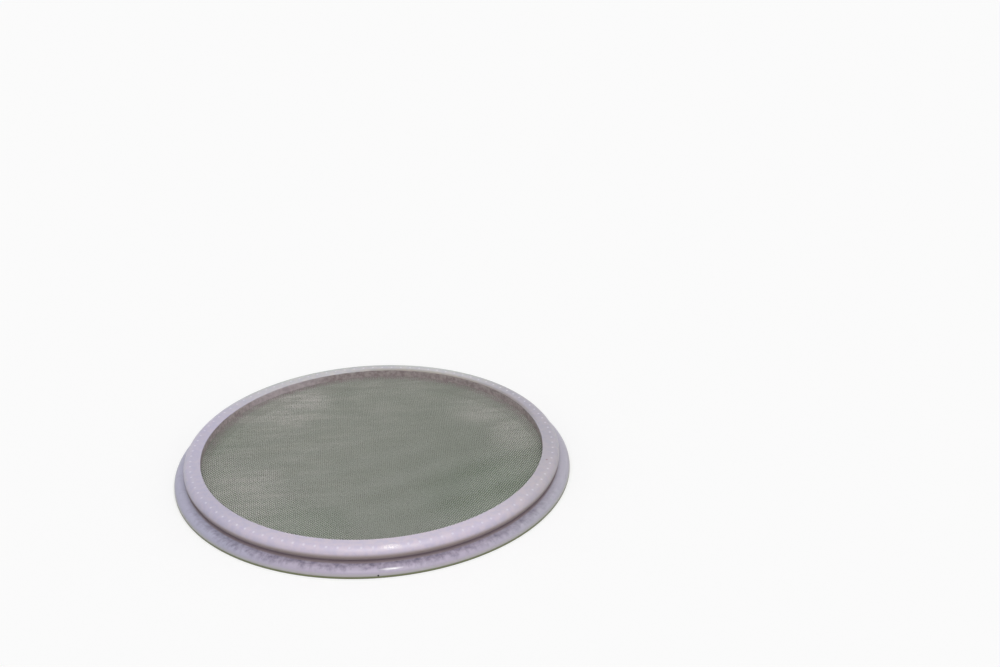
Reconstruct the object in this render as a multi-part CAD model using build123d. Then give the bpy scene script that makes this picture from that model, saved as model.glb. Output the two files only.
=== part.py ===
from build123d import *
import os
from math import ceil, cos, radians, sin, tan

# Round sifter sieve: a woven wire mesh held in a moulded rubber rim.
# The frame has its origin at the centre of the underside, +Z up through the mesh.
# All sizes are in millimetres and all angles in degrees.

# Moulded rim: a wide, round-edged flange below and a narrower bead above
flange_radius = 152.0
flange_width = 8.0
flange_thickness = 6.5
flange_top_round = 5.0
flange_bottom_chamfer = 0.5
bead_width = 13.0
bead_shoulder_round = 5.5
bead_side_lean = 28.0
bead_top_fall = 0.3
bead_lip_chamfer = 0.6
neck_corner_height = 2.0
flange_land_clearance = 0.1
round_step_angle = 24.0
rim_height = 18.5

# Woven mesh: bands one way lie on bands across, with plain openings between them.
# The ridges on the bands stand for the wires and are coarser than they are.
ridge_width = 0.6
ridge_pitch = 1.6
web_thickness = 0.3
mesh_recess = 6.0
weave_angle = 45.0
band_ridge_count = 6
opening_pitch_count = 10

# Steel support ring inside the bead
support_width = 7.0
support_thickness = 2.0
support_inset = 4.0
bonding_hole_radius = 1.2
bonding_hole_sides = 6
bonding_hole_count = 108

# Sizes that follow from the ones above
bead_outer_radius = flange_radius - flange_width
bead_inner_radius = bead_outer_radius - bead_width
flange_land_inner_radius = bead_outer_radius + flange_land_clearance
shoulder_height = rim_height - bead_shoulder_round
mesh_thickness = 2 * ridge_width
mesh_top = rim_height - mesh_recess
mesh_bottom = mesh_top - mesh_thickness
mesh_middle = (mesh_bottom + mesh_top) / 2
valley_height = mesh_middle + web_thickness / 2
band_width = (band_ridge_count - 1) * ridge_pitch + ridge_width
band_spacing = (band_ridge_count + opening_pitch_count) * ridge_pitch
support_inner_radius = bead_inner_radius + support_inset
support_outer_radius = support_inner_radius + support_width
support_top = mesh_top + support_thickness


def block(inner, outer, bottom, top):
    """A rectangle of the half section, between two radii and two heights."""
    corners = [(inner, bottom), (outer, bottom), (outer, top), (inner, top)]
    return make_face(Polyline(*corners, close=True))


def turned(section):
    """The solid that a half section sweeps round the sieve's axis."""
    return revolve(Plane.XZ * section, Axis.Z)


def round_points(centre, radius, start, end):
    """Points along a round of the half section, from one angle to another, in steps of one size."""
    steps = ceil((end - start) / round_step_angle)
    angles = [radians(start + (end - start) * step / steps) for step in range(steps + 1)]
    return [(centre[0] + radius * cos(angle), centre[1] + radius * sin(angle)) for angle in angles]


def flange_section():
    """The flange, with a full round on its upper edge and a small chamfer on its lower one."""
    centre = (flange_radius - flange_top_round, flange_thickness - flange_top_round)
    outline = [
        (bead_inner_radius, flange_thickness),
        (bead_inner_radius, 0),
        (flange_radius - flange_bottom_chamfer, 0),
        (flange_radius, flange_bottom_chamfer),
        *round_points(centre, flange_top_round, 0, 90),
    ]
    return make_face(Polyline(*outline, close=True))


def bead_section():
    """The bead: a full shoulder, a side that leans in to a filled corner on the flange, and a falling top."""
    centre = (bead_outer_radius - bead_shoulder_round, shoulder_height)
    shoulder = round_points(centre, bead_shoulder_round, -bead_side_lean, 90)
    side_radius, side_height = shoulder[0]
    corner_height = flange_thickness + neck_corner_height
    corner_radius = side_radius - tan(radians(bead_side_lean)) * (side_height - corner_height)
    lip_height = rim_height - bead_top_fall
    outline = [
        (flange_land_inner_radius, 0),
        (flange_land_inner_radius, flange_thickness),
        (corner_radius, corner_height),
        *shoulder,
        (bead_inner_radius + bead_lip_chamfer, lip_height),
        (bead_inner_radius, lip_height - bead_lip_chamfer),
        (bead_inner_radius, 0),
    ]
    return make_face(Polyline(*outline, close=True))


def seat_section():
    """The space in the rim for the mesh's border and for the support ring on it."""
    border = block(bead_inner_radius, support_outer_radius, mesh_bottom, mesh_top)
    ring = block(support_inner_radius, support_outer_radius, mesh_top, support_top)
    return border + ring


def silicone_rim():
    """The rim as moulded round the mesh and the ring: flange and bead in one piece."""
    return turned(flange_section() + bead_section() - seat_section())


def support_ring():
    """The flat steel ring that the mesh is bonded to, with its row of bonding holes."""
    ring = turned(block(support_inner_radius, support_outer_radius, mesh_top, support_top))
    hole_circle = (support_inner_radius + support_outer_radius) / 2
    hole = extrude(RegularPolygon(bonding_hole_radius, bonding_hole_sides), support_thickness)
    places = PolarLocations(hole_circle, bonding_hole_count)
    return ring - [Pos(0, 0, mesh_top) * place * hole for place in places]


def band_section():
    """One band across, from the mesh's middle up: a row of ridges with valleys between them."""
    outline = [(-band_width / 2, mesh_middle)]
    for index in range(band_ridge_count):
        ridge = index * ridge_pitch - band_width / 2
        outline += [(ridge, valley_height), (ridge, mesh_top)]
        outline += [(ridge + ridge_width, mesh_top), (ridge + ridge_width, valley_height)]
    outline += [(band_width / 2, mesh_middle)]
    return make_face(Polyline(*outline, close=True))


def wire_bands():
    """All bands of one direction, side by side, on the upper half of the mesh."""
    count = int((bead_inner_radius - band_width / 2) / band_spacing)
    band = extrude(Plane.XZ * band_section(), support_outer_radius, both=True)
    return [Pos(index * band_spacing, 0, 0) * band for index in range(-count, count + 1)]


def wire_mesh():
    """The mesh as one wall: bands above, bands across below, and a closed border inside the rim."""
    border_middle = (bead_inner_radius + support_outer_radius) / 2
    above = wire_bands()
    below = [Rot(0, 0, 90) * band.mirror(Plane.XY.offset(mesh_middle)) for band in above]
    disc = turned(block(0, border_middle, mesh_bottom, mesh_top))
    border = turned(block(bead_inner_radius, support_outer_radius, mesh_bottom, mesh_top))
    return Rot(0, 0, weave_angle) * ((Part() + above + below) & disc) + border


def write(name, shape):
    export_step(shape, os.path.join("parts", name + ".step"))


os.makedirs("parts", exist_ok=True)
write("silicone_rim", silicone_rim())
write("support_ring", support_ring())
write("wire_mesh", wire_mesh())
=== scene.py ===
from math import cos, floor, pi, radians, sin, sqrt, tan

import bpy
import numpy as np
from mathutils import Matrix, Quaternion, Vector


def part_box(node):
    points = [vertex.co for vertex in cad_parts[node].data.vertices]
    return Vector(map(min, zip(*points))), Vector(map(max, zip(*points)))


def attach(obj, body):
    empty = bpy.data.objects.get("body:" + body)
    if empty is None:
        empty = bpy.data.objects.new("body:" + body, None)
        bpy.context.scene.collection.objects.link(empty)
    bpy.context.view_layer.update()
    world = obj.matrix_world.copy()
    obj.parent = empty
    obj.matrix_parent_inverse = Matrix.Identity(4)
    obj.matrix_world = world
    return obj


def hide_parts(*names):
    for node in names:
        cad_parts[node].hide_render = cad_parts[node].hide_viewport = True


# Round sifter sieve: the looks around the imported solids, in their frame and in metres.
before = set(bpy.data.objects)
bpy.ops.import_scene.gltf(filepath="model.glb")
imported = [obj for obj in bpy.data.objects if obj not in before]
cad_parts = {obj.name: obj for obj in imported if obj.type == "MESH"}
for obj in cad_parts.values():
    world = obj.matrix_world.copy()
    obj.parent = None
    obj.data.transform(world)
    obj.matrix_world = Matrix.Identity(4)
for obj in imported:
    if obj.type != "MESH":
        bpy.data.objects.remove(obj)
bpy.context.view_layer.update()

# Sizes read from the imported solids
rim_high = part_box("silicone_rim")[1]
mesh_low, mesh_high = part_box("wire_mesh")
flange_radius = rim_high.x
rim_height = rim_high.z
mesh_middle = (mesh_low.z + mesh_high.z) / 2

# Moulded rim: the section of the solids, with rounds in place of its chamfers
flange_width = 0.008
flange_thickness = 0.0065
flange_top_round = 0.005
flange_foot_round = 0.0005
bead_width = 0.013
bead_shoulder_round = 0.0055
bead_side_lean = 28.0
bead_top_fall = 0.0003
bead_lip_round = 0.0006
neck_fillet = 0.0015
bead_outer_radius = flange_radius - flange_width
bead_inner_radius = bead_outer_radius - bead_width
sections_round = 540
degrees_per_step = 7.5
sharp_edge_angle = 35.0

# Woven mesh: separate wires, finer than the ridges that stand for them in the solids
wire_diameter = 0.0004
wire_pitch = 0.0010
wire_sides = 4
wire_end_in_rim = 0.0012
pieces_per_direction = 3
weave_angle = 45.0
mesh_reach = bead_inner_radius + wire_end_in_rim
wire_drift = 0.00022
drift_waves = ((21.0, 11.0), (-13.0, 24.0), (9.0, -28.0))

# Pale spots where the ring's bonding holes show through the bead
spot_count = 108
spot_circle_radius = 0.1384
spot_circle_forward = 0.0025
spot_radius = 0.0009
spot_fade = (1.3 * spot_radius, 0.5 * spot_radius)
spot_heights = (0.0148, rim_height - 0.002)

# Zones of the rim: where a colour starts and where it is full, in height, radius or distance towards a side
side_heights = (0.0148, 0.0118)
off_bead_radii = (0.1400, 0.1412)
land_heights = (0.0074, 0.0066)
crease_heights = (0.0106, 0.0084)
crease_radii = (0.1440, 0.1424)
neck_radii = (0.1434, 0.1475)
front_distances = (0.040, 0.110)
lip_radii = (0.1490, 0.1518)
edge_heights = (0.0044, 0.0026)
blue_distances = (0.05, 0.12)
left_to_right = (-0.05, 0.05)
foot_heights = (0.0024, 0.0012)
foot_radii = (0.1500, 0.1510)
under_heights = (0.0004, 0.0001)
wall_heights = (0.0180, 0.0172)
wall_radii = (0.1324, 0.1311)
below_mesh_heights = (mesh_low.z + 0.0006, mesh_low.z)
# Painted light on the bead: palest towards this side
lit_side, lit_distances = (0.25, -0.97, 0.0), (0.03, 0.14)
far_distances = (0.05, 0.13)
# Painted shade on the bead to the right
right_distances = (0.06, 0.13)
# Painted greenish reflection on the bead's outer edge behind
green_reflection_radii = (0.1370, 0.1400)
beige_side, beige_distances = (0.60, 0.80, 0.0), (0.085, 0.120)
beige_radii = (0.1350, 0.1314)
wall_haze, wall_haze_size = (-0.075, 0.110, 0.016), 0.050
brown_speck, brown_speck_size = (0.1298, -0.0403, 0.0184), 0.0011
black_speck, black_speck_size = (-0.0016, -0.1520, 0.0022), 0.0009

# A round patch is full within this share of its size
patch_core = 0.4

# Painted highlights in front, where the coat is also glossier: place as X and radius, half size along X and
# across, and where they fade
bead_shine, bead_shine_size = (0.0080, 0.1412), (0.0090, 0.0022)
bead_shine_heights = (0.0150, 0.0165)
flange_shine, flange_shine_size = (0.0078, 0.1498), (0.0105, 0.0009)
shine_fade = (1.0, 0.2)

# Colours of the rim, and tints that multiply them
white = (1, 1, 1, 1)
bead_dark, bead_light = (0.595, 0.530, 0.640, 1), (0.655, 0.590, 0.690, 1)
cloud_dark, cloud_light = (0.94, 0.95, 0.99, 1), (1.04, 1.02, 1.0, 1)
# Tints of painted shade on the bead: away from its palest side, behind where it is also greener, on the
# right, and a painted greenish reflection
away_shade_tint = (0.79, 0.82, 0.86, 1)
far_shade_tint = (0.84, 0.92, 0.80, 1)
right_shade_tint = (0.85, 0.86, 0.79, 1)
green_reflection_tint = (0.93, 1.03, 0.92, 1)
beige_tint = (0.68, 0.64, 0.56, 1)
spot_colour = (0.80, 0.79, 0.86, 1)
# Painted highlight on the bead
bead_shine_colour = (0.92, 0.85, 0.88, 1)
# Painted shade: brownish on the bead's undercut and dark in the crease
undercut_shade_colour = (0.42, 0.35, 0.33, 1)
crease_shade_colour = (0.22, 0.175, 0.19, 1)
flange_dark = (0.155, 0.140, 0.200, 1)
flange_front = (0.465, 0.412, 0.515, 1)
flange_left, flange_right = (0.420, 0.410, 0.525, 1), (0.450, 0.430, 0.505, 1)
# Painted highlight on the flange's round edge
flange_shine_colour = (0.85, 0.83, 0.86, 1)
# Painted greenish grey reflection low on the flange's edge
edge_reflection_colour = (0.53, 0.52, 0.47, 1)
# Painted shade and greenish reflection along the foot
foot_shade_and_reflection_colour = (0.21, 0.23, 0.12, 1)
wall_dark, wall_light = (0.335, 0.280, 0.280, 1), (0.525, 0.455, 0.455, 1)
wall_haze_colour = (0.70, 0.62, 0.68, 1)
# Painted light on the wall below the mesh
below_mesh_painted_light = (0.72, 0.68, 0.72, 1)
brown_speck_colour = (0.30, 0.14, 0.14, 1)
black_speck_colour = (0.02, 0.02, 0.02, 1)

# How strongly those colours show
spot_share = 0.45
edge_reflection_share = 0.5
flange_shine_share = 0.85
wall_haze_share = 0.33
brown_speck_share = 0.7
far_wall_brightness = 0.82
sparkle_least = 0.35

# Gloss of the rubber: specular level, least in the crease, and coat, most in the highlights
specular_most, specular_least = 0.45, 0.05
flange_dullness = 0.5
coat_least, coat_most = 0.12, 0.35

# Streaks and blotches of the flange: how strong they are, and how light the flange is between them
streak_stretch = 0.5
streak_weight, blotch_weight = 1.2, 1.9
side_strength, right_strength, lip_strength = 0.35, 0.55, 0.25
front_light, neck_light, lip_light = 0.54, 0.22, 0.3

# Noise as scale, detail and roughness, and the range of its values that is stretched to 0 and 1
bead_tone = (26.0, 2.0, 0.5)
bead_clouds, bead_clouds_range = (210.0, 3.0, 0.6), (0.35, 0.65)
flange_streaks = (420.0, 3.0, 0.6)
flange_blotches = (210.0, 3.0, 0.6)
wall_mottle, wall_mottle_range = (330.0, 3.0, 0.6), (0.34, 0.66)
sparkle, sparkle_range = (900.0, 2.0, 0.5), (0.42, 0.58)
haze_streaks, haze_streaks_range = (190.0, 4.0, 0.62), (0.40, 0.66)
haze_grains, haze_grains_range = (750.0, 2.0, 0.6), (0.40, 0.60)
brown_blotches, brown_blotches_range = (240.0, 3.0, 0.6), (0.40, 0.60)
ring_grain = (9000.0, 3.0, 0.5)

# Wires: colour along their height, darker low down as painted shade, and painted glints that read as lines
# on two sides, as direction, distance apart and side
# Darker low in the weave as painted shade
wire_shaded_low, wire_crest = (0.20, 0.217, 0.181, 1), (0.255, 0.275, 0.232, 1)
crest_heights = (mesh_middle - 0.0002, mesh_middle + 0.0004)
left_side, right_side = (-0.80, -0.60, 0), (0.90, -0.43, 0)
# Painted glints that read as lines
left_glint_lines = (127.0, 0.00164, left_side)
right_glint_lines = (58.5, 0.00165, right_side)
lines_distances = (0.055, 0.105)
line_contrast, line_lift, line_darkest = 2.2, 0.32, 0.05
dim_on_other_side = -0.35

# Pale haze on the wires, partly painted light that lifts the shade by the walls, and round patches of haze
# and of painted shade, as place, size and share of haze
haze_colour = (0.50, 0.475, 0.455, 1)
haze_side, haze_distances = (-0.85, 0.53, 0.0), (-0.09, 0.06)
haze_base = 0.30
haze_stretch = (0.16, 1.0, 1.0)
haze_streak_shares = (0.35, 1.0)
haze_grain_shares = (0.30, 1.70)
haze_and_light_patches = (((-0.075, 0.082, 0.012), 0.055, 0.30), ((-0.092, -0.040, 0.012), 0.036, 0.16),
                ((0.113, 0.012, 0.012), 0.030, 0.40), ((0.104, 0.062, 0.012), 0.050, 0.45),
                ((-0.060, 0.112, 0.012), 0.045, 0.32), ((0.030, 0.122, 0.012), 0.050, 0.14))
shade_tint = (0.86, 0.91, 0.86, 1)
shade_patches = (((0.080, -0.070, 0.012), 0.065), ((-0.052, -0.100, 0.012), 0.045),
                 ((-0.120, 0.036, 0.012), 0.032))

# Brown painted shade and painted reflection of the wall on the mesh by the far wall
brown_shade_colour = (0.27, 0.22, 0.225, 1)
brown_radii = (0.1230, 0.1285)
brown_distances = (-0.02, 0.06)
brown_shade_share = 0.8
brown_blotch_shares = (0.4, 1.0)

# Steel of the support ring
ring_dark, ring_light = (0.55, 0.55, 0.53, 1), (0.66, 0.66, 0.64, 1)
ring_grain_stretch = 0.002

# The photograph's view, in pixels where it says so
photo_width = 1000
photo_height = 667
sensor_width = 36.0
focal_pixels = 1378.6
origin_pixel = (374.09, 465.64)
camera_elevation = 30.098
camera_roll = -3.678
camera_distance = 7.118 * flange_radius
clip_ratio = 100

# Stage, and lamps as azimuth, elevation, strength and spread
floor_half_size = 6.0
floor_seen = 0.97
floor_bounce = 0.3
floor_glow = 0.06
world_light = 0.40
front_lamp = (176.0, 55.0, 1.85, 45.0)
glint_lamp = (163.0, 74.0, 0.16, 4.0)


def arc(centre, radius, start, end):
    """Points on an arc of the half section, in steps small enough to look smooth."""
    steps = max(2, round(abs(end - start) / degrees_per_step))
    angles = [radians(start + (end - start) * step / steps) for step in range(steps + 1)]
    return [(centre[0] + radius * cos(angle), centre[1] + radius * sin(angle)) for angle in angles]


def rim_section():
    """The rim's half section, once round, from the inner foot outwards and back over the top."""
    lean = radians(bead_side_lean)
    shoulder = (bead_outer_radius - bead_shoulder_round, rim_height - bead_shoulder_round)
    side_top_radius = shoulder[0] + bead_shoulder_round * cos(lean)
    side_top_height = shoulder[1] - bead_shoulder_round * sin(lean)
    side_foot_radius = side_top_radius - tan(lean) * (side_top_height - flange_thickness)
    fillet_radius = side_foot_radius + neck_fillet * (1 + sin(lean)) / cos(lean)
    fillet = (fillet_radius, flange_thickness + neck_fillet)
    foot = (flange_radius - flange_foot_round, flange_foot_round)
    edge = (flange_radius - flange_top_round, flange_thickness - flange_top_round)
    lip_height = rim_height - bead_top_fall
    lip = (bead_inner_radius + bead_lip_round, lip_height - bead_lip_round)
    inner_foot = (bead_inner_radius + flange_foot_round, flange_foot_round)
    return [
        *arc(inner_foot, flange_foot_round, 180, 270),
        *arc(foot, flange_foot_round, -90, 0),
        *arc(edge, flange_top_round, 0, 90),
        *arc(fillet, neck_fillet, 270, 180 - bead_side_lean),
        *arc(shoulder, bead_shoulder_round, -bead_side_lean, 90),
        *arc(lip, bead_lip_round, 90, 180),
    ]


def add_piece(name, points, faces, node):
    """A smooth-shaded mesh that rides on the sieve and stands for one of its solids."""
    mesh = bpy.data.meshes.new(name)
    mesh.from_pydata(points.tolist(), [], faces)
    mesh.shade_smooth()
    mesh.set_sharp_from_angle(angle=radians(sharp_edge_angle))
    piece = bpy.data.objects.new(name, mesh)
    bpy.context.scene.collection.objects.link(piece)
    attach(piece, "root")
    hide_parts(node)
    return piece


def ring_faces(rings, sides, closed):
    """Quads between rings of points, each joined to the next, and the last to the first if closed."""
    ring = np.arange(rings if closed else rings - 1)[:, None]
    side = np.arange(sides)[None, :]
    here, after = ring * sides, (ring + 1) % rings * sides
    next_side = (side + 1) % sides
    corners = [here + side, after + side, after + next_side, here + next_side]
    return np.stack(corners, -1).reshape(-1, 4)


def moulded_rim():
    """The rim turned from its half section."""
    section = np.array(rim_section())
    angles = np.linspace(0, 2 * pi, sections_round, endpoint=False)[:, None]
    radius, height = section[None, :, 0], section[None, :, 1]
    points = np.stack([radius * np.cos(angles), radius * np.sin(angles), height + 0 * angles], -1)
    faces = ring_faces(sections_round, len(section), True)
    return add_piece("moulded_rim", points.reshape(-1, 3), faces.tolist(), "silicone_rim")


def woven_wire(index, first_up):
    """Ring points of one wire, along x: it rises over one crossing wire and dips under the next."""
    offset = index * wire_pitch
    reach = sqrt(mesh_reach ** 2 - offset ** 2)
    crossings = np.arange(-floor(reach / wire_pitch), floor(reach / wire_pitch) + 1)
    wave = np.where((crossings + index) % 2 == first_up, 1.0, -1.0) * wire_diameter / 2
    along = np.concatenate([[-reach], crossings * wire_pitch, [reach]])
    height = np.concatenate([[0.0], wave, [0.0]])
    turn = np.linspace(0, 2 * pi, wire_sides, endpoint=False)
    x = np.repeat(along[:, None], wire_sides, 1)
    y = offset + wire_diameter / 2 * np.cos(turn)[None, :] + 0 * x
    z = mesh_middle + height[:, None] + wire_diameter / 2 * np.sin(turn)[None, :]
    return np.stack([x, y, z], -1)


def drifted(x, y):
    """Places in the mesh, moved sideways a little, as stretched wires aren't quite straight."""
    waves = [(along * x + across * y) * 2 * pi for along, across in drift_waves]
    drift_x = wire_drift * sum(np.sin(wave) for wave in waves)
    drift_y = wire_drift * sum(np.cos(wave) for wave in waves)
    return x + drift_x, y + drift_y


def woven_piece(name, indexes, direction, first_up):
    """One group of parallel wires, turned to its direction in the mesh."""
    points, faces, start = [], [], 0
    for index in indexes:
        wire = woven_wire(index, first_up)
        rings = len(wire)
        last_ring = start + (rings - 1) * wire_sides
        ends = [list(range(start + wire_sides - 1, start - 1, -1)),
                list(range(last_ring, last_ring + wire_sides))]
        faces += (ring_faces(rings, wire_sides, False)[:, ::-1] + start).tolist() + ends
        points.append(wire.reshape(-1, 3))
        start += rings * wire_sides
    points = np.concatenate(points)
    angle = radians(direction)
    x = points[:, 0] * cos(angle) - points[:, 1] * sin(angle)
    y = points[:, 0] * sin(angle) + points[:, 1] * cos(angle)
    x, y = drifted(x, y)
    return add_piece(name, np.stack([x, y, points[:, 2]], -1), faces, "wire_mesh")


def woven_wires(name, direction, first_up):
    """All wires of one direction, in a few pieces side by side."""
    last = floor((mesh_reach - wire_diameter) / wire_pitch)
    groups = np.array_split(np.arange(-last, last + 1), pieces_per_direction)
    pieces = []
    for number, group in enumerate(groups):
        pieces.append(woven_piece("%s_%d" % (name, number), group.tolist(), direction, first_up))
    return pieces


class Graph:
    """A node tree and its shader, with short ways to add what these materials use."""

    def __init__(self, owner, shader):
        owner.use_nodes = True
        self.tree = owner.node_tree
        self.shader = self.tree.nodes[shader]

    def add(self, kind, inputs=(), **settings):
        made = self.tree.nodes.new(kind)
        for key, value in settings.items():
            setattr(made, key, value)
        for key, value in dict(inputs).items():
            self.put(made.inputs[key], value)
        return made

    def put(self, socket, value):
        if isinstance(value, bpy.types.NodeSocket):
            self.tree.links.new(value, socket)
        else:
            socket.default_value = value

    def shade(self, values):
        """Sets the shader's sockets by name."""
        for key, value in values.items():
            self.put(self.shader.inputs[key], value)

    def math(self, operation, *values):
        made = self.add("ShaderNodeMath", operation=operation)
        for socket, value in zip(made.inputs, values):
            self.put(socket, value)
        return made.outputs[0]

    def product(self, first, *others):
        for other in others:
            first = self.math("MULTIPLY", first, other)
        return first

    def total(self, first, *others):
        for other in others:
            first = self.math("ADD", first, other)
        return first

    def length(self, x, y):
        """The length of the line that goes x one way and y across."""
        return self.math("SQRT", self.total(self.product(x, x), self.product(y, y)))

    def vector(self, operation, first, second):
        """The outputs of an operation on two vectors."""
        return self.add("ShaderNodeVectorMath", {0: first, 1: second}, operation=operation).outputs

    def join(self, x=0.0, y=0.0, z=0.0):
        return self.add("ShaderNodeCombineXYZ", {"X": x, "Y": y, "Z": z}).outputs[0]

    def step(self, value, start, full):
        """A soft change from 0 at start to 1 at full, whichever of them is larger."""
        inputs = {"Value": value, "From Min": start, "From Max": full}
        return self.add("ShaderNodeMapRange", inputs, interpolation_type="SMOOTHSTEP").outputs[0]

    def between(self, value, low, high):
        """A plain change from low to high as a value goes from 0 to 1."""
        return self.add("ShaderNodeMapRange", {"Value": value, "To Min": low, "To Max": high}).outputs[0]

    def mix(self, share, first, second, blend="MIX"):
        made = self.add("ShaderNodeMix", data_type="RGBA", blend_type=blend)
        self.put(made.inputs["Factor"], share)
        self.put(made.inputs[6], first)
        self.put(made.inputs[7], second)
        return made.outputs[2]

    def multiplied(self, first, second):
        """Two colours multiplied."""
        return self.mix(1.0, first, second, "MULTIPLY")

    def scaled(self, colour, brightness):
        """A colour made darker or lighter."""
        return self.multiplied(colour, self.join(brightness, brightness, brightness))

    def tinted(self, share, colour, tint):
        """A colour multiplied by a tint, by a share of it."""
        return self.multiplied(colour, self.mix(share, white, tint))

    def noise(self, vector, scale, detail, roughness):
        inputs = {"Vector": vector, "Scale": scale, "Detail": detail, "Roughness": roughness}
        return self.add("ShaderNodeTexNoise", inputs).outputs["Fac"]

    def place(self):
        """Position in the sieve's frame, its three parts and its distance from the axis."""
        position = self.add("ShaderNodeTexCoord").outputs["Object"]
        parts = self.add("ShaderNodeSeparateXYZ", {"Vector": position}).outputs
        return position, parts, self.length(parts["X"], parts["Y"])

    def towards(self, position, side, distances):
        """0 to 1 between two distances from the middle, measured towards a side."""
        return self.step(self.vector("DOT_PRODUCT", position, side)["Value"], *distances)

    def near(self, position, centre, size):
        """1 close to a point and 0 from a size away."""
        return self.step(self.vector("DISTANCE", position, centre)["Value"], size, patch_core * size)

    def shine(self, parts, radius, centre, size):
        """1 in the middle of a patch that is long round the rim in front, and 0 where it ends."""
        sideways = self.math("DIVIDE", self.math("SUBTRACT", parts["X"], centre[0]), size[0])
        outwards = self.math("DIVIDE", self.math("SUBTRACT", radius, centre[1]), size[1])
        patch = self.step(self.length(sideways, outwards), *shine_fade)
        return self.product(patch, self.math("LESS_THAN", parts["Y"], 0.0))

    def seen(self):
        """1 where the camera sees it, straight or in gloss, and 0 where it only lights other things."""
        path = self.add("ShaderNodeLightPath").outputs
        glossy = self.math("MAXIMUM", path["Is Camera Ray"], path["Is Glossy Ray"])
        return self.math("MAXIMUM", glossy, path["Is Transmission Ray"])


def new_material(name):
    material = bpy.data.materials.new(name)
    return material, Graph(material, "Principled BSDF")


def hole_spots(g, parts):
    """A row of pale round spots on the bead's top, one over each bonding hole."""
    forward = g.math("ADD", parts["Y"], spot_circle_forward)
    spots_round = g.product(g.math("ARCTAN2", forward, parts["X"]), spot_count / (2 * pi))
    from_spot = g.math("SUBTRACT", g.math("FRACT", spots_round), 0.5)
    sideways = g.product(from_spot, 2 * pi * spot_circle_radius / spot_count)
    outwards = g.math("SUBTRACT", g.length(parts["X"], forward), spot_circle_radius)
    spots = g.step(g.length(sideways, outwards), *spot_fade)
    return g.product(spots, g.step(parts["Z"], *spot_heights))


def flange_colour(g, parts, radius):
    """Lavender, bluer at the sides, with dark streaks and blotches, strong in front, faint at the lip, and
    darker by the neck in front, partly as painted shade.
    """
    round_place = [g.product(g.math("DIVIDE", parts[axis], radius), flange_radius) for axis in "XY"]
    streak_place = g.join(*round_place, g.product(radius, streak_stretch))
    streaks = g.math("SUBTRACT", g.noise(streak_place, *flange_streaks), 0.5)
    blotches = g.math("SUBTRACT", g.noise(g.join(*round_place, radius), *flange_blotches), 0.5)
    uneven = g.total(g.product(streaks, streak_weight), g.product(blotches, blotch_weight))
    in_front = g.step(g.product(parts["Y"], -1.0), *front_distances)
    at_lip = g.step(radius, *lip_radii)
    strength = g.product(g.between(in_front, side_strength, 1.0), g.between(at_lip, 1.0, lip_strength))
    calmer = g.between(g.step(parts["X"], *blue_distances), 1.0, right_strength)
    # In front the flange is darker by the neck, in its streaks and as painted shade under the bead's
    # overhang
    from_neck = g.product(g.step(radius, *neck_radii), g.between(in_front, 0.0, neck_light))
    light_share = g.total(g.between(in_front, 1.0, front_light), from_neck, g.product(at_lip, lip_light),
                          g.product(uneven, g.product(strength, calmer)))
    at_side = g.step(g.math("ABSOLUTE", parts["X"]), *blue_distances)
    side_light = g.mix(g.step(parts["X"], *left_to_right), flange_left, flange_right)
    return g.mix(light_share, flange_dark, g.mix(at_side, flange_front, side_light))


def bead_colour(g, position, parts, radius):
    """Lavender with its row of spots, under painted light and shade: palest in front, bluer at the sides,
    greener behind.
    """
    lavender = g.mix(g.noise(position, *bead_tone), bead_dark, bead_light)
    cloud = g.step(g.noise(position, *bead_clouds), *bead_clouds_range)
    lavender = g.multiplied(lavender, g.mix(cloud, cloud_dark, cloud_light))
    # Painted light and shade: palest towards one side in front, painted shade away from it, behind and on
    # the right, and a painted greenish reflection on the outer edge behind
    behind = g.step(parts["Y"], *far_distances)
    tint = g.mix(g.towards(position, lit_side, lit_distances), away_shade_tint, white)
    tint = g.mix(behind, tint, far_shade_tint)
    tint = g.tinted(g.step(parts["X"], *right_distances), tint, right_shade_tint)
    tint = g.tinted(g.product(g.step(radius, *green_reflection_radii), behind), tint, green_reflection_tint)
    beige = g.product(g.towards(position, beige_side, beige_distances), g.step(radius, *beige_radii))
    tint = g.tinted(beige, tint, beige_tint)
    spots = g.product(hole_spots(g, parts), spot_share)
    return g.mix(spots, g.multiplied(lavender, tint), spot_colour)


def outside_colour(g, parts, radius, bead, crease, low_shine):
    """Below the bead's top: brownish undercut and dark crease in painted shade, the flange with a painted
    highlight, a greenish grey painted reflection on its edge, and a greenish foot of painted shade and
    reflection.
    """
    height = parts["Z"]
    # Painted shade, brownish on the undercut and dark towards the crease
    side = g.mix(g.step(height, *side_heights), bead, undercut_shade_colour)
    side = g.mix(g.step(height, *crease_heights), side, crease_shade_colour)
    flange = flange_colour(g, parts, radius)
    # Painted highlight on the flange's round edge in front
    flange = g.mix(g.product(low_shine, flange_shine_share), flange, flange_shine_colour)
    # Painted greenish grey reflection low on the flange's edge
    flange = g.mix(g.product(g.step(height, *edge_heights), edge_reflection_share), flange, edge_reflection_colour)
    outside = g.mix(g.step(height, *land_heights), side, flange)
    # Painted shade in the crease
    outside = g.mix(crease, outside, crease_shade_colour)
    # Painted shade and greenish reflection along the foot
    foot = g.product(g.step(height, *foot_heights), g.step(radius, *foot_radii))
    return g.mix(foot, outside, foot_shade_and_reflection_colour)


def wall_colour(g, position, parts):
    """The bead's inner wall: mottled, darker behind, hazy on the far left, and pale below the mesh as
    painted light.
    """
    mottled = g.step(g.noise(position, *wall_mottle), *wall_mottle_range)
    wall = g.mix(mottled, wall_dark, wall_light)
    wall = g.mix(g.step(parts["Y"], *far_distances), wall, g.scaled(wall, far_wall_brightness))
    haze = g.product(g.near(position, wall_haze, wall_haze_size), wall_haze_share)
    wall = g.mix(haze, wall, wall_haze_colour)
    # Painted light below the mesh
    return g.mix(g.step(parts["Z"], *below_mesh_heights), wall, below_mesh_painted_light)


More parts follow.
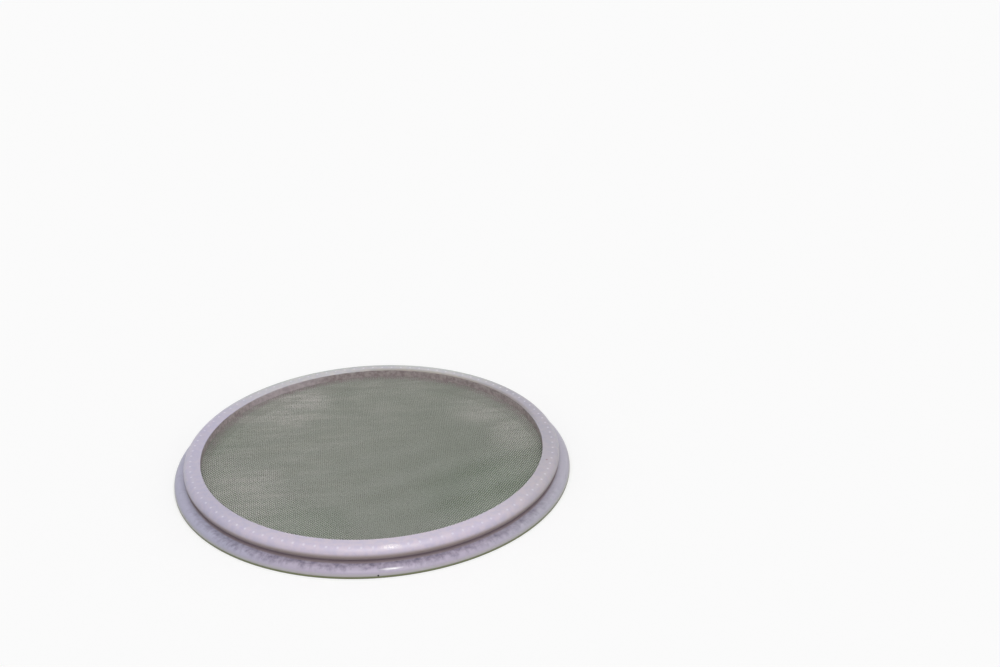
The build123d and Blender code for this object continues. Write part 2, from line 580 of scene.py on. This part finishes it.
def silicone():
    """Translucent lavender rubber: pale bead, brownish undercut and mottled flange, with painted shade,
    reflections and highlights.
    """
    material, g = new_material("silicone")
    position, parts, radius = g.place()
    height = parts["Z"]
    off_bead = g.step(radius, *off_bead_radii)
    # The crease: painted shade there, and less gloss
    crease = g.product(g.step(radius, *crease_radii), g.step(height, *crease_heights))
    crease = g.product(crease, g.step(height, *under_heights[::-1]))
    # Patches of painted highlight in front, where the coat is also glossier
    low_shine = g.shine(parts, radius, flange_shine, flange_shine_size)
    shine = g.shine(parts, radius, bead_shine, bead_shine_size)
    shine = g.product(shine, g.step(height, *bead_shine_heights))
    bead = bead_colour(g, position, parts, radius)
    outside = outside_colour(g, parts, radius, bead, crease, low_shine)
    on_wall = g.product(g.step(radius, *wall_radii), g.step(height, *wall_heights))
    base = g.mix(on_wall, g.mix(off_bead, bead, outside), wall_colour(g, position, parts))
    # Painted highlight on the bead, broken into sparkles
    sparkles = g.between(g.step(g.noise(position, *sparkle), *sparkle_range), sparkle_least, 1.0)
    base = g.mix(g.product(shine, sparkles), base, bead_shine_colour)
    brown = g.product(g.near(position, brown_speck, brown_speck_size), brown_speck_share)
    base = g.mix(brown, base, brown_speck_colour)
    base = g.mix(g.near(position, black_speck, black_speck_size), base, black_speck_colour)
    base = g.mix(g.step(height, *under_heights), base, bead)
    in_crease = g.product(crease, off_bead)
    on_flange = g.product(g.step(height, *land_heights), off_bead)
    dull = g.math("MAXIMUM", g.product(on_flange, flange_dullness), in_crease)
    coat = g.between(g.math("MAXIMUM", shine, low_shine), coat_least, coat_most)
    g.shade({"Base Color": base, "Roughness": 0.36, "IOR": 1.41, "Coat Roughness": 0.09,
             "Specular IOR Level": g.between(dull, specular_most, specular_least),
             "Coat Weight": g.product(coat, g.between(in_crease, 1.0, 0.0)),
             "Subsurface Weight": 0.2, "Subsurface Radius": (1.0, 0.8, 1.0), "Subsurface Scale": 0.003})
    return material


def weave_glint_lines(g, position, direction, pitch):
    """A wave between 1 and -1 whose lines run in one direction, for painted glints on the wires."""
    turn = radians(direction)
    across = (-sin(turn) * 2 * pi / pitch, cos(turn) * 2 * pi / pitch, 0)
    return g.math("COSINE", g.vector("DOT_PRODUCT", position, across)["Value"])


def haze_share(g, position):
    """How much pale haze lies on the wires, in streaks and grains and thicker in patches, partly painted
    light that lifts the shade by the walls.
    """
    streak_place = g.vector("MULTIPLY", position, haze_stretch)["Vector"]
    streaks = g.step(g.noise(streak_place, *haze_streaks), *haze_streaks_range)
    grains = g.step(g.noise(position, *haze_grains), *haze_grains_range)
    haze = g.between(g.towards(position, haze_side, haze_distances), 0.0, haze_base)
    for centre, size, share in haze_and_light_patches:
        haze = g.total(haze, g.product(g.near(position, centre, size), share))
    haze = g.product(haze, g.between(streaks, *haze_streak_shares))
    return g.product(haze, g.between(grains, *haze_grain_shares))


def wire_steel(name, lines, other_side):
    """Dull greenish grey wire: painted glints as lines on one side, haze that is partly painted light,
    painted shade in patches, and brown painted shade and reflection by the far wall.
    """
    material, g = new_material(name)
    position, parts, radius = g.place()
    direction, pitch, side = lines
    # Darker low in the weave as painted shade
    steel = g.mix(g.step(parts["Z"], *crest_heights), wire_shaded_low, wire_crest)
    # Painted glints that read as lines on one side, dimmer on the other
    wave = g.total(g.product(weave_glint_lines(g, position, direction, pitch), line_contrast), line_lift)
    wave = g.product(wave, g.towards(position, side, lines_distances))
    dim = g.product(g.towards(position, other_side, lines_distances), dim_on_other_side)
    steel = g.scaled(steel, g.math("MAXIMUM", g.total(wave, dim, 1.0), line_darkest))
    # Patches of painted shade
    for centre, size in shade_patches:
        steel = g.tinted(g.near(position, centre, size), steel, shade_tint)
    # Pale haze, partly painted light by the walls
    steel = g.mix(haze_share(g, position), steel, haze_colour)
    # Brown painted shade and reflection of the wall by the far wall
    by_wall = g.product(g.step(radius, *brown_radii), g.step(parts["Y"], *brown_distances))
    blotches = g.step(g.noise(position, *brown_blotches), *brown_blotches_range)
    by_wall = g.product(by_wall, g.between(blotches, *brown_blotch_shares), brown_shade_share)
    g.shade({"Base Color": g.mix(by_wall, steel, brown_shade_colour), "Metallic": 0.35, "Roughness": 0.55})
    return material


def ring_steel():
    """Brushed steel with a fine grain that runs round the ring."""
    material, g = new_material("ring_steel")
    parts, radius = g.place()[1:]
    angle = g.math("ARCTAN2", parts["Y"], parts["X"])
    grain = g.noise(g.join(radius, g.product(angle, ring_grain_stretch)), *ring_grain)
    g.shade({"Base Color": g.mix(grain, ring_dark, ring_light), "Metallic": 1.0, "Roughness": 0.35})
    return material


def paint(piece, material):
    piece.data.materials.clear()
    piece.data.materials.append(material)


def add_floor():
    """A plain pale floor that keeps the sieve's shadow and sends little light back up."""
    bpy.ops.mesh.primitive_plane_add(size=2 * floor_half_size)
    plane = bpy.context.object
    plane.name = "floor"
    material, g = new_material("pale_floor")
    seen = g.seen()
    tone = g.between(seen, floor_bounce, floor_seen)
    g.shade({"Base Color": g.join(tone, tone, tone), "Roughness": 0.9, "Specular IOR Level": 0.0,
             "Emission Color": white, "Emission Strength": g.between(seen, 0.0, floor_glow)})
    paint(plane, material)


def add_world():
    """Even light from all round, and plain white wherever the world itself shows."""
    world = bpy.data.worlds.new("studio")
    bpy.context.scene.world = world
    g = Graph(world, "Background")
    g.shade({"Color": white, "Strength": g.between(g.seen(), world_light, 1.0)})


def add_sun(name, azimuth, elevation, strength, spread):
    """A soft lamp far away. Azimuth 0 is behind the sieve as photographed and 90 is to its right."""
    lamp = bpy.data.lights.new(name, "SUN")
    lamp.energy = strength
    lamp.angle = radians(spread)
    sun = bpy.data.objects.new(name, lamp)
    bpy.context.scene.collection.objects.link(sun)
    side, up = radians(azimuth), radians(elevation)
    towards = Vector((sin(side) * cos(up), cos(side) * cos(up), sin(up)))
    sun.rotation_euler = towards.to_track_quat("Z", "Y").to_euler()


def add_camera():
    """The photograph's camera: in front of the sieve, rolled, with the origin at its pixel."""
    up = radians(camera_elevation)
    position = camera_distance * Vector((0, -cos(up), sin(up)))
    to_right = (origin_pixel[0] - photo_width / 2) / focal_pixels
    downwards = (origin_pixel[1] - photo_height / 2) / focal_pixels
    origin_ray = Vector((to_right, -downwards, -1)).normalized()
    data = bpy.data.cameras.new("camera")
    data.sensor_width = sensor_width
    data.lens = focal_pixels / photo_width * sensor_width
    data.clip_start = camera_distance / clip_ratio
    data.clip_end = camera_distance * clip_ratio
    camera = bpy.data.objects.new("camera", data)
    bpy.context.scene.collection.objects.link(camera)
    camera.rotation_mode = "QUATERNION"
    camera.location = position
    facing = (-position).to_track_quat("-Z", "Y")
    roll = Quaternion((0, 0, 1), radians(camera_roll))
    camera.rotation_quaternion = facing @ roll @ origin_ray.rotation_difference(Vector((0, 0, -1)))
    bpy.context.scene.camera = camera


paint(moulded_rim(), silicone())
rising_steel = wire_steel("rising_wire_steel", left_glint_lines, right_side)
falling_steel = wire_steel("falling_wire_steel", right_glint_lines, left_side)
for group in woven_wires("rising_wires", weave_angle, 0):
    paint(group, rising_steel)
for group in woven_wires("falling_wires", weave_angle + 90, 1):
    paint(group, falling_steel)
paint(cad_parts["support_ring"], ring_steel())
add_floor()
add_world()
add_sun("front", *front_lamp)
add_sun("glint", *glint_lamp)
add_camera()
bpy.context.scene.view_settings.view_transform = "Standard"
